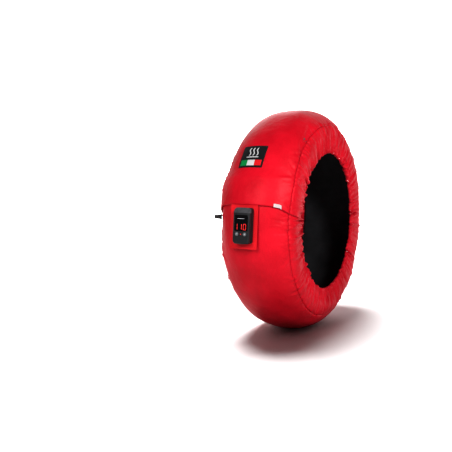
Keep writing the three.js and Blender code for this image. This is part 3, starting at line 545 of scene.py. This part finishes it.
def make_side(side):
    lines = np.linspace(PANEL_END, FLAP_LINE, PANEL_ROWS)[:, None]
    panel_ways = side * np.linspace(SEAM, HEM, PANEL_COLUMNS)[None, :]
    hem_ways = side * np.linspace(HEM, EDGE, HEM_COLUMNS + 1)[1:][None, :]
    ways = np.c_[panel_ways, hem_ways]
    ends = np.interp(np.abs(ways), SEAM + SIDE_STOPS, END_LINES)
    own = np.where(lines > 0, lines * ends / PANEL_END, lines)
    phi = np.radians(lean(own, ways))
    fade = np.exp(-((np.abs(ways) - SEAM) / SEAM_BLEND) ** 2)
    meet = (tread_relief(phi, side * SEAM + 0 * phi) + SEAM_DIP) * fade
    smooth_face = ring(phi, ways, lift(own, ways) + meet)
    ways = np.broadcast_to(ways, phi.shape)
    count = PANEL_COLUMNS
    panel = worn_panel(side, phi[:, :count], ways[:, :count], smooth_face[:, :count])
    hem_move = (panel[:, -1] - smooth_face[:, count - 1])[:, None]
    curl = 1 - 0.6 * smooth(np.abs(ways[:, count:]), HEM, HEM + 12 * MM)
    outer = np.concatenate([panel, smooth_face[:, count:] + hem_move * curl[..., None]], 1)
    stitched = np.exp(-((np.abs(ways) - HEM_STITCH) / (1.6 * MM)) ** 2)
    dip = SEAM_DIP * np.exp(-((np.abs(ways) - SEAM) / SEAM_DIP_WIDTH) ** 2)
    normal = grid_normals(outer)
    normal *= np.sign((normal[..., 0] * side)[:, :count].mean())
    folds = PANEL_CREASES[side].height(phi, ways, PANEL_RADIUS) * (1 - 0.6 * stitched) * (1 - fade)
    folds *= 1 - smooth(np.abs(ways), HEM - 2 * MM, HEM + 6 * MM)
    outer = outer + normal * (folds - 0.8 * MM * stitched - dip)[..., None]
    inner = outer - CLOTH * normal
    uv = np.stack([SEAM_RADIUS * phi, ways], -1)
    name = SIDE_NAMES[side]
    piece = cloth(f"side_cloth_{name}", outer, inner, uv, RED)
    put(piece, "warmer", "red_nylon", f"cover_side_{name}")
    stitch_panel(name, outer, normal, ways)
    make_elastic(side, phi[:, count], lift(own, ways)[:, count],
                 (hem_move * curl[..., None]).mean(axis=1))


def stitch_panel(name, outer, normal, ways):
    """The row of stitches that closes the hem's tunnel."""
    column = int(np.argmin(np.abs(np.abs(ways[0]) - HEM_STITCH)))
    path = outer[:, column]
    length = np.r_[0, np.cumsum(np.linalg.norm(np.diff(path, axis=0), axis=1))]
    stops = np.arange(4 * MM, length[-1] - 4 * MM, STITCH_PITCH)
    here = np.stack([np.interp(stops, length, path[:, axis]) for axis in range(3)], -1)
    out = np.stack([np.interp(stops, length, normal[:, column, axis]) for axis in range(3)], -1)
    heading = np.gradient(here, axis=0)
    row = stitch_row(f"hem_stitches_{name}", here, heading, out, THREAD)
    put(row, "warmer", "red_nylon")


def ring_band(name, depth, thickness, reach, rows, columns, material, relief=None):
    """A closed layer inside the cover, from one side's edge over the crown to the other's."""
    lines = np.linspace(TUCK_END - 0.2, TUCK_END - 359.8, rows)[:, None]
    ways = np.linspace(-reach, reach, columns)[None, :]
    phi = np.radians(lean(lines, ways))
    bump = 0 if relief is None else relief(phi, ways)
    outer = ring(phi, ways, -depth + 0 * phi)
    inner = ring(phi, ways, -depth - thickness + bump + 0 * phi)
    uv = np.stack(np.broadcast_arrays(CROWN * phi, ways), -1)
    return cloth(name, outer, inner, uv, material)


def quilting(phi, way):
    """The lining is sewn through in lanes, and swells a little between them."""
    lanes = np.abs(np.sin(math.pi * way / (40 * MM)))
    return -0.9 * MM * lanes ** 0.5 + 0.4 * MM * np.cos(90 * phi + 60 * way)


def make_inner_layers():
    pad = ring_band("pad_felt", 4.6 * MM, 5 * MM, SEAM - 2 * MM, 240, 40, FELT)
    put(pad, "warmer", "felt", "heating_pad")
    lining = ring_band("lining_cloth", 12.6 * MM, 1.2 * MM, SEAM - 1 * MM, 400, 50,
                       BLACK_CLOTH, quilting)
    put(lining, "warmer", "black_nylon", "inner_lining")


def tube(name, centres, radius, sides, material):
    """A round tube along a row of points, with its ends capped."""
    centres = np.asarray(centres)
    along = np.gradient(centres, axis=0)
    along /= np.linalg.norm(along, axis=1)[:, None]
    across = np.cross(along, [1.0, 0.0, 0.0])
    across /= np.linalg.norm(across, axis=1)[:, None]
    third = np.cross(along, across)
    turn = np.linspace(0, 2 * math.pi, sides, endpoint=False)
    ring_points = (centres[:, None] + radius * (np.cos(turn)[None, :, None] * across[:, None]
                                                + np.sin(turn)[None, :, None] * third[:, None]))
    index = np.arange(len(centres) * sides).reshape(len(centres), sides)
    wrapped = np.c_[index, index[:, 0]]
    faces = [list(f) for f in grid_wrap(wrapped)]
    faces += [list(index[0]), list(index[-1][::-1])]
    return face_outward(mesh_object(name, ring_points.reshape(-1, 3), faces, material))


def grid_wrap(index):
    a, b, c, d = index[:-1, :-1], index[1:, :-1], index[1:, 1:], index[:-1, 1:]
    return np.stack([a, b, c, d], -1).reshape(-1, 4)


def make_elastic(side, phi, raised, shift):
    """The elastic in the hem's tunnel, moved with the hem's gathers."""
    kept = (phi < math.radians(6)) & (phi > math.radians(FLAP_LINE))
    phi, raised, shift = phi[kept], raised[kept], shift[kept]
    centre = ring(phi, side * HEM, raised) + shift
    centre[:, 0] -= side * HEM_CURL
    name = SIDE_NAMES[side]
    piece = tube(f"elastic_{name}", centre, 1.1 * MM, 8, ELASTIC)
    put(piece, "warmer", "elastic", f"hem_elastic_{name}")


# Stitches
def stitch_row(name, centres, heading, outward, material, length=STITCH_LENGTH,
               radius=STITCH_RADIUS):
    """Short raised threads, one at each point, along heading and bedded in the cloth."""
    heading = heading / np.linalg.norm(heading, axis=1)[:, None]
    outward = outward / np.linalg.norm(outward, axis=1)[:, None]
    across = np.cross(heading, outward)
    steps = np.linspace(-1, 1, 5)
    turn = np.linspace(0, 2 * math.pi, 6, endpoint=False)
    rings = []
    for step in steps:
        swell = radius * (0.35 + 0.65 * math.sqrt(max(0, 1 - step ** 4)))
        sag = -radius * 1.2 * step ** 2
        middle = centres + heading * (step * length / 2) + outward * sag
        circle = (np.cos(turn)[None, :, None] * across[:, None]
                  + np.sin(turn)[None, :, None] * outward[:, None])
        rings.append(middle[:, None] + swell * circle)
    points = np.stack(rings, 1)
    count, rows, sides = points.shape[:3]
    index = np.arange(rows * sides).reshape(rows, sides)
    one = [list(f) for f in grid_wrap(np.c_[index, index[:, 0]])]
    one += [list(index[0]), list(index[-1][::-1])]
    faces = [[corner + k * rows * sides for corner in face] for k in range(count) for face in one]
    return face_outward(mesh_object(name, points.reshape(-1, 3), faces, material))


def surface_row(phi, way, relief):
    """Points on a relief with the cloth's outward direction and its heading round the ring."""
    here = ring(phi, way, relief)
    ahead = ring(phi + 0.002, way, relief)
    out = ring(phi, way, relief + 0.001) - here
    return here, ahead - here, out


def make_stitches():
    for side in (1, -1):
        phi = np.radians(np.arange(8, FLAP_LINE, -math.degrees(STITCH_PITCH / SEAM_RADIUS)))
        way = np.full_like(phi, side * (SEAM - 3.2 * MM))
        lines = np.degrees(phi)
        here, heading, out = surface_row(phi, way, tread_relief(phi, way) + lift(lines, way))
        row = stitch_row(f"seam_stitches_{SIDE_NAMES[side]}", here, heading, out, THREAD)
        put(row, "warmer", "red_nylon")
    ways = np.arange(-SEAM + 4 * MM, SEAM - 4 * MM, STITCH_PITCH)
    line = np.full_like(ways, FLAP_LINE + FLAP_STITCH)
    phi = np.radians(lean(line, ways))
    relief = tread_relief(phi, ways) + lift(line, ways) + flap_hem(line, ways)
    here = ring(phi, ways, relief)
    heading = np.gradient(here, axis=0)
    out = ring(phi, ways, relief + 0.001) - here
    row = stitch_row("flap_stitches", here, heading, out, THREAD)
    put(row, "warmer", "red_nylon")


# Sewn labels
def label_point(across, phi, out):
    way = width_way(across)
    return ring(phi, way, tread_relief(phi, way) + out)


PATCH_LEFT, PATCH_RIGHT = -48 * MM, 22 * MM
PATCH_LOW, PATCH_HIGH = math.radians(30), math.radians(41.8)


def patch_area(name, left, right, low, high, floor, thickness, material, rows=24):
    """Part of the patch: shares of its width and height, curved with the cloth."""
    across = PATCH_LEFT + (PATCH_RIGHT - PATCH_LEFT) * np.linspace(left, right, rows)[None, :]
    phi = PATCH_LOW + (PATCH_HIGH - PATCH_LOW) * np.linspace(high, low, rows)[:, None]
    across, phi = np.broadcast_arrays(across, phi)
    outer = label_point(across, phi, floor + thickness)
    inner = label_point(across, phi, np.full_like(phi, floor))
    uv = np.stack([across, CROWN * phi], -1)
    return cloth(name, outer, inner, uv, material)


def make_patch():
    base = patch_area("patch_base", 0, 1, 0, 1, 0.25 * MM, 0.9 * MM, PATCH_BLACK, 40)
    put(base, "warmer", "patch", "sewn_patch")
    stripes = ((PATCH_GREEN, "green", 0.05, 0.34), (PATCH_WHITE, "white", 0.34, 0.66),
               (PATCH_RED, "red", 0.66, 0.95))
    for material, name, left, right in stripes:
        field = patch_area(f"patch_{name}", left, right, 0.06, 0.32, 0.9 * MM, 0.5 * MM, material)
        put(field, "warmer", "patch")
    for index, middle in enumerate((0.34, 0.5, 0.66)):
        make_wave(f"patch_wave_{index + 1}", middle)
    ground = patch_area("patch_ground", 0.24, 0.76, 0.43, 0.475, 0.9 * MM, 0.5 * MM, PATCH_WHITE)
    put(ground, "warmer", "patch")
    border = []
    for start, end in (((0, 0), (1, 0)), ((1, 0), (1, 1)), ((1, 1), (0, 1)), ((0, 1), (0, 0))):
        part = np.linspace(0, 1, 44, endpoint=False)[:, None]
        border.append(np.array(start) + (np.array(end) - np.array(start)) * part)
    border = np.concatenate(border)
    across = PATCH_LEFT + (PATCH_RIGHT - PATCH_LEFT) * border[:, 0]
    phi = PATCH_LOW + (PATCH_HIGH - PATCH_LOW) * border[:, 1]
    here = label_point(across, phi, np.full_like(phi, 0.9 * MM))
    out = label_point(across, phi, np.full_like(phi, 1.9 * MM)) - here
    heading = np.roll(here, -1, 0) - here
    sideways = np.cross(heading, out)
    row = stitch_row("patch_border", here, sideways, out, PATCH_BLACK, 3.2 * MM, 0.85 * MM)
    put(row, "warmer", "patch")


def make_wave(name, middle):
    """A rising heat wave: a plain S-shaped line."""
    height = np.linspace(0.52, 0.9, 30)[:, None]
    sway = 0.035 * np.sin(2 * math.pi * (height - 0.52) / 0.38)
    width = np.array([-0.026, 0, 0.026])[None, :]
    across = PATCH_LEFT + (PATCH_RIGHT - PATCH_LEFT) * (middle + sway + width)
    phi = PATCH_LOW + (PATCH_HIGH - PATCH_LOW) * height
    across, phi = np.broadcast_arrays(across, phi)
    outer = label_point(across, phi, np.full_like(phi, 1.4 * MM))
    inner = label_point(across, phi, np.full_like(phi, 0.9 * MM))
    uv = np.stack([across, CROWN * phi], -1)
    put(cloth(name, outer, inner, uv, PATCH_WHITE), "warmer", "patch")


def make_tag():
    """White tape on the flap's edge, a little curled."""
    ways = np.linspace(width_way(69 * MM), width_way(86 * MM), 20)[None, :]
    lines = FLAP_LINE + np.linspace(1.5, -0.15, 14)[:, None]
    phi = np.radians(lean(lines, ways))
    curled = 0.5 * MM * np.cos(np.linspace(-2, 2, 20))[None, :] ** 2
    relief = tread_relief(phi, ways) + STACK + flap_hem(lines, ways) + 0.25 * MM + curled
    uv = np.stack(np.broadcast_arrays(CROWN * phi, ways), -1)
    piece = cloth("tag_tape", ring(phi, ways, relief + 0.4 * MM), ring(phi, ways, relief), uv,
                  TAG_WHITE)
    put(piece, "warmer", "tag", "care_tag")


# The tab and the controller: x across, y up the tab, z out from it
TAB_ANGLE = math.radians(5.5)
TAB_FRAME = Matrix((
    (1, 0, 0, 0),
    (0, math.sin(TAB_ANGLE), -math.cos(TAB_ANGLE), -CROWN * math.cos(TAB_ANGLE)),
    (0, math.cos(TAB_ANGLE), math.sin(TAB_ANGLE), AXLE + CROWN * math.sin(TAB_ANGLE)),
    (0, 0, 0, 1),
))
TAB_WIDTH, TAB_HEIGHT, TAB_TOP, TAB_X = 80 * MM, 117 * MM, 35 * MM, -5 * MM
TAB_BACK = 1.6 * MM
TAB_FRONT = TAB_BACK + 3 * MM
FRONT = TAB_FRONT + 24 * MM
HOUSING_WIDTH, HOUSING_HEIGHT = 48 * MM, 94 * MM
HOUSING_Y = TAB_TOP - 7.5 * MM - HOUSING_HEIGHT / 2
COVER_BACK = TAB_FRONT + 0.3 * MM + 9.5 * MM + 0.3 * MM + 0.6 * MM + 0.3 * MM


def on_tab(points):
    matrix = np.array(TAB_FRAME)
    return np.asarray(points) @ matrix[:3, :3].T + matrix[:3, 3]


def rounded_outline(width, height, corner, belly=0, count=12):
    """Corner by corner round a rectangle, its lower edge bowed out by belly."""
    points = []
    for cx, cy, start in ((1, -1, -90), (1, 1, 0), (-1, 1, 90), (-1, -1, 180)):
        for turn in np.radians(np.linspace(start, start + 90, count)):
            points.append((cx * (width / 2 - corner) + corner * math.cos(turn),
                           cy * (height / 2 - corner) + corner * math.sin(turn)))
    outline = []
    for a, b in zip(points, points[1:] + points[:1]):
        steps = max(1, int(math.dist(a, b) / (2 * MM)))
        for step in range(steps):
            outline.append(np.array(a) + (np.array(b) - np.array(a)) * step / steps)
    outline = np.array(outline)
    low = smooth(-outline[:, 1], height / 2 - corner, height / 2)
    outline[:, 1] -= belly / 2 * low * np.cos(math.pi * outline[:, 0] / width)
    return outline


def slab(name, outline, middle, back, front, bevel, material, relief=None, rings=3):
    """A plate with rounded edges; relief(x, y) may lower its front."""
    inward = outline_inward(outline)
    rows = [(0, back)] if bevel == 0 else [
        (bevel * (1 - math.sin(t)), back + bevel * (1 - math.cos(t)))
        for t in np.linspace(0, math.pi / 2, 5)
    ]
    rows += [(bevel * (1 - math.cos(t)), front - bevel * (1 - math.sin(t)))
             for t in np.linspace(0, math.pi / 2, 7)]
    loops = [np.c_[outline + inset * inward, np.full(len(outline), z)] for inset, z in rows]
    last = loops[-1][:, :2]
    for share in np.linspace(1, 0, rings + 1)[1:-1]:
        loops.append(np.c_[last * share, np.full(len(outline), front)])
    loops.append(np.c_[last * 0.001, np.full(len(outline), front)])
    points = np.concatenate(loops)
    points[:, :2] += middle
    if relief is not None:
        points[:, 2] = relief(points[:, 0] - middle[0], points[:, 1] - middle[1], points[:, 2])
    index = np.arange(len(points)).reshape(len(loops), -1)
    faces = [list(f) for f in grid_wrap(np.c_[index, index[:, 0]])]
    faces += [list(index[0]), list(index[-1][::-1])]
    return face_outward(mesh_object(name, on_tab(points), faces, material))


def outline_inward(outline):
    ahead = np.roll(outline, -1, 0) - np.roll(outline, 1, 0)
    inward = np.c_[-ahead[:, 1], ahead[:, 0]]
    return inward / np.linalg.norm(inward, axis=1)[:, None]


def make_tab():
    outline = rounded_outline(TAB_WIDTH, TAB_HEIGHT, 2.5 * MM, count=6)
    middle = np.array([TAB_X, TAB_TOP - TAB_HEIGHT / 2])

    def stitched(x, y, z):
        edge = np.minimum(TAB_WIDTH / 2 - np.abs(x), TAB_HEIGHT / 2 - np.abs(y))
        groove = 0.35 * MM * np.exp(-((edge - 4 * MM) / (0.8 * MM)) ** 2)
        return z - groove * (z > TAB_BACK + 1.5 * MM)
    tab = slab("tab_plate", outline, middle, TAB_BACK, TAB_FRONT, 0.9 * MM, TAB_RED, stitched, 40)
    put(tab, "warmer", "red_tab", "controller_tab")


SLOPE_LENGTH, SLOPE_FALL = 15 * MM, 9 * MM
WINDOW_SIZE = (38 * MM, 41.5 * MM)
WINDOW_Y = 6.25 * MM
KEY_X, KEY_Y, KEY_RADIUS = 11.5 * MM, -22.5 * MM, 4.8 * MM


def soft_box(x, y, width, height, corner, edge):
    """1 inside a rounded rectangle and 0 outside, across a soft edge."""
    dx = np.maximum(np.abs(x) - (width / 2 - corner), 0)
    dy = np.maximum(np.abs(y) - (height / 2 - corner), 0)
    return 1 - smooth(np.hypot(dx, dy) - corner, -edge / 2, edge / 2)


def cover_relief(x, y, z):
    top = HOUSING_HEIGHT / 2
    fall = SLOPE_FALL / SLOPE_LENGTH
    slope = FRONT - np.maximum(0, y - (top - SLOPE_LENGTH)) * fall
    slanted = y - (top - SLOPE_LENGTH)
    face = np.minimum(z, slope)
    sloped = smooth(slanted, 0.5 * MM, 2 * MM) * (1 - smooth(slanted, 12.5 * MM, 14 * MM))
    lean_x = x + slanted * math.tan(math.radians(24))
    pitch = 5 * MM
    across = np.abs((lean_x / pitch) % 1 - 0.5) * pitch
    slot = (1 - smooth(across, 0.7 * MM, 1.1 * MM)) * sloped * (np.abs(x) < 19.5 * MM)
    face = face - 0.9 * MM * slot * (z > COVER_BACK + 4 * MM)
    window = soft_box(x, y - WINDOW_Y, WINDOW_SIZE[0] + 0.8 * MM, WINDOW_SIZE[1] + 0.8 * MM,
                      1.5 * MM, 0.3 * MM)
    keys = sum(1 - smooth(np.hypot(x - k * KEY_X, y - KEY_Y), KEY_RADIUS + 0.25 * MM,
                          KEY_RADIUS + 0.6 * MM) for k in (-1, 1))
    return face - 1.3 * MM * np.clip(window + keys, 0, 1) * (z > FRONT - 0.5 * MM)


def make_housing():
    outline = rounded_outline(HOUSING_WIDTH, HOUSING_HEIGHT, 8 * MM, 3 * MM, 14)
    cover = slab("front_cover", outline, np.array([0, HOUSING_Y]), COVER_BACK, FRONT, 3 * MM,
                 HOUSING, cover_relief, 110)
    cover.data.materials.append(SLOPE)
    low = HOUSING_Y + HOUSING_HEIGHT / 2 - SLOPE_LENGTH
    inverse = TAB_FRAME.inverted()
    for face in cover.data.polygons:
        place = inverse @ face.center
        if place.y > low + 0.8 * MM and place.z > COVER_BACK + 3 * MM:
            face.material_index = 1
    put(cover, "warmer", "housing", "housing_cover")


def disc_outline(radius, count=40):
    turn = np.linspace(0, 2 * math.pi, count, endpoint=False)
    return radius * np.c_[np.cos(turn), np.sin(turn)]


def make_keys():
    for side, body, node in ((-1, "minus_key", "key_minus"), (1, "plus_key", "key_plus")):
        middle = np.array([side * KEY_X, HOUSING_Y + KEY_Y])

        def dished(x, y, z):
            return z - 0.3 * MM * (1 - np.hypot(x, y) / KEY_RADIUS).clip(0, 1) * (z > FRONT)
        cap = slab(f"{node}_cap", disc_outline(KEY_RADIUS), middle, FRONT - 4 * MM,
                   FRONT + 0.8 * MM, 0.5 * MM, KEYS, dished, 10)
        put(cap, body, "keys", node)
        bar = rounded_outline(4.2 * MM, 0.9 * MM, 0.3 * MM, count=4)
        sign = slab(f"{node}_sign", bar, middle, FRONT + 0.2 * MM, FRONT + 0.72 * MM,
                    0.1 * MM, MARK)
        put(sign, body, "keys")
        if side > 0:
            upright = slab(f"{node}_sign_upright", bar[:, ::-1], middle, FRONT + 0.2 * MM,
                           FRONT + 0.73 * MM, 0.1 * MM, MARK)
            put(upright, body, "keys")


DISPLAY = "110"
DIGIT_X = (-14.6 * MM, -2.0 * MM, 10.7 * MM)
DIGIT_Y = -3.5 * MM
BARS = {"1": "bc", "0": "abcdef"}


def make_digits():
    """A lit 110, the set temperature, as seven-bar digits."""
    height, width, thick = 15 * MM, 7 * MM, 1.1 * MM
    for index, (digit, x) in enumerate(zip(DISPLAY, DIGIT_X)):
        places = {
            "a": (0, height / 2, True), "d": (0, -height / 2, True),
            "b": (width / 2, height / 4, False), "c": (width / 2, -height / 4, False),
            "e": (-width / 2, -height / 4, False), "f": (-width / 2, height / 4, False),
        }
        for name in BARS[digit]:
            dx, dy, flat = places[name]
            size = (width - thick * 0.6, thick) if flat else (thick, height / 2 - thick * 0.4)
            outline = rounded_outline(*size, 0.45 * MM, count=4)
            middle = np.array([x + dx, HOUSING_Y + DIGIT_Y + dy])
            bar = slab(f"digit_{index + 1}_{name}", outline, middle, FRONT - 0.12 * MM,
                       FRONT + 0.03 * MM, 0.02 * MM, DIGITS)
            put(bar, "warmer", "lamp")
    line = rounded_outline(20 * MM, 1.1 * MM, 0.5 * MM, count=4)
    plain = slab("window_line", line, np.array([-1 * MM, HOUSING_Y + 18 * MM]),
                 FRONT - 0.12 * MM, FRONT + 0.02 * MM, 0.02 * MM, MARK)
    put(plain, "warmer", "window")


# Camera, light and floor
RING_CENTRE = Vector((0, 0, AXLE))
CAMERA_OFFSET = Vector((0.828, -1.874, 0.201))
CAMERA_AZIMUTH = math.radians(26.82)
CAMERA_ELEVATION = math.radians(5.539)
PHOTO_SIZE = 452
FOCAL_PIXELS = 667
OPTICAL_AXIS_PIXEL = (262.5, 218.4)
SENSOR = 36


def make_camera():
    data = bpy.data.cameras.new("camera")
    data.sensor_width = SENSOR
    data.lens = FOCAL_PIXELS / PHOTO_SIZE * SENSOR
    data.shift_x = -(OPTICAL_AXIS_PIXEL[0] - PHOTO_SIZE / 2) / PHOTO_SIZE
    data.shift_y = (OPTICAL_AXIS_PIXEL[1] - PHOTO_SIZE / 2) / PHOTO_SIZE
    camera = bpy.data.objects.new("camera", data)
    camera.location = RING_CENTRE + CAMERA_OFFSET
    camera.rotation_euler = (math.pi / 2 - CAMERA_ELEVATION, 0, CAMERA_AZIMUTH)
    bpy.context.scene.collection.objects.link(camera)
    bpy.context.scene.camera = camera


# Each lamp's place, size and power
LAMPS = {
    "key": ((-0.05, -1.55, 1.0), 0.5, 17),
    "side": ((1.7, -1.15, 1.35), 0.5, 60),
    "back": ((-1.4, 1.9, 1.9), 1.2, 20),
}
SUN_HEADING = (1.1, -0.2, -5.5)
SUN_POWER = 4.1
SUN_SPREAD = math.radians(24)
FLOOR_REACH, FLOOR_DROP = 6, 0.3 * MM
BACKDROP_DISTANCE, BACKDROP_REACH, BACKDROP_TOP = 3.2, 6, 4


def add_light(name, kind, power, heading):
    data = bpy.data.lights.new(name, kind)
    data.energy = power
    light = bpy.data.objects.new(name, data)
    light.rotation_euler = Vector(heading).to_track_quat("-Z", "Y").to_euler()
    bpy.context.scene.collection.objects.link(light)
    return light


def light_rule(name, piece, state):
    """EXCLUDE leaves the piece out of what a light reaches or what shades it, INCLUDE keeps to it."""
    rule = bpy.data.collections.new(name)
    rule.objects.link(piece)
    rule.collection_objects[0].light_linking.link_state = state
    return rule


def make_studio():
    """Lamps for the object, an overhead light for the white floor, and a backdrop."""
    world = bpy.data.worlds.new("studio")
    world.use_nodes = True
    world.node_tree.nodes["Background"].inputs["Color"].default_value = (1, 1, 1, 1)
    world.node_tree.nodes["Background"].inputs["Strength"].default_value = 0.08
    bpy.context.scene.world = world

    floor_material = new_material("floor", (0.93, 0.93, 0.93), 0.9, Specular_IOR_Level=0.1)
    corners = [(-1, -1), (1, -1), (1, 1), (-1, 1)]
    floor = mesh_object("floor", [(x * FLOOR_REACH, y * FLOOR_REACH, -FLOOR_DROP) for x, y in corners],
                        [(0, 1, 2, 3)], floor_material)

    wall_material = new_material("backdrop", (0.9, 0.9, 0.9), 0.9, Emission_Color=(1, 1, 1, 1),
                                 Emission_Strength=1.0)
    away = Vector((-math.sin(CAMERA_AZIMUTH), math.cos(CAMERA_AZIMUTH), 0))
    along = Vector((math.cos(CAMERA_AZIMUTH), math.sin(CAMERA_AZIMUTH), 0))
    wall = [BACKDROP_DISTANCE * away + step * BACKDROP_REACH * along + Vector((0, 0, height))
            for step, height in ((-1, -1), (1, -1), (1, BACKDROP_TOP), (-1, BACKDROP_TOP))]
    backdrop = mesh_object("backdrop", wall, [(0, 1, 2, 3)], wall_material)

    for name, (place, size, power) in LAMPS.items():
        lamp = add_light(name, "AREA", power, RING_CENTRE - Vector(place))
        lamp.data.shape = "RECTANGLE"
        lamp.data.size = lamp.data.size_y = size
        lamp.location = place
        lamp.light_linking.receiver_collection = light_rule(f"{name}_rule", floor, "EXCLUDE")
    overhead = add_light("floor_light", "SUN", SUN_POWER, SUN_HEADING)
    overhead.data.angle = SUN_SPREAD
    overhead.light_linking.receiver_collection = light_rule("floor_light_rule", floor, "INCLUDE")
    overhead.light_linking.blocker_collection = light_rule("backdrop_rule", backdrop, "EXCLUDE")


make_camera()
make_studio()
make_tread()
make_side(1)
make_side(-1)
make_inner_layers()
make_stitches()
make_patch()
make_tag()
make_tab()
make_housing()
make_keys()
make_digits()

bpy.context.scene.view_settings.view_transform = "Standard"
bpy.context.scene.view_settings.gamma = 0.75
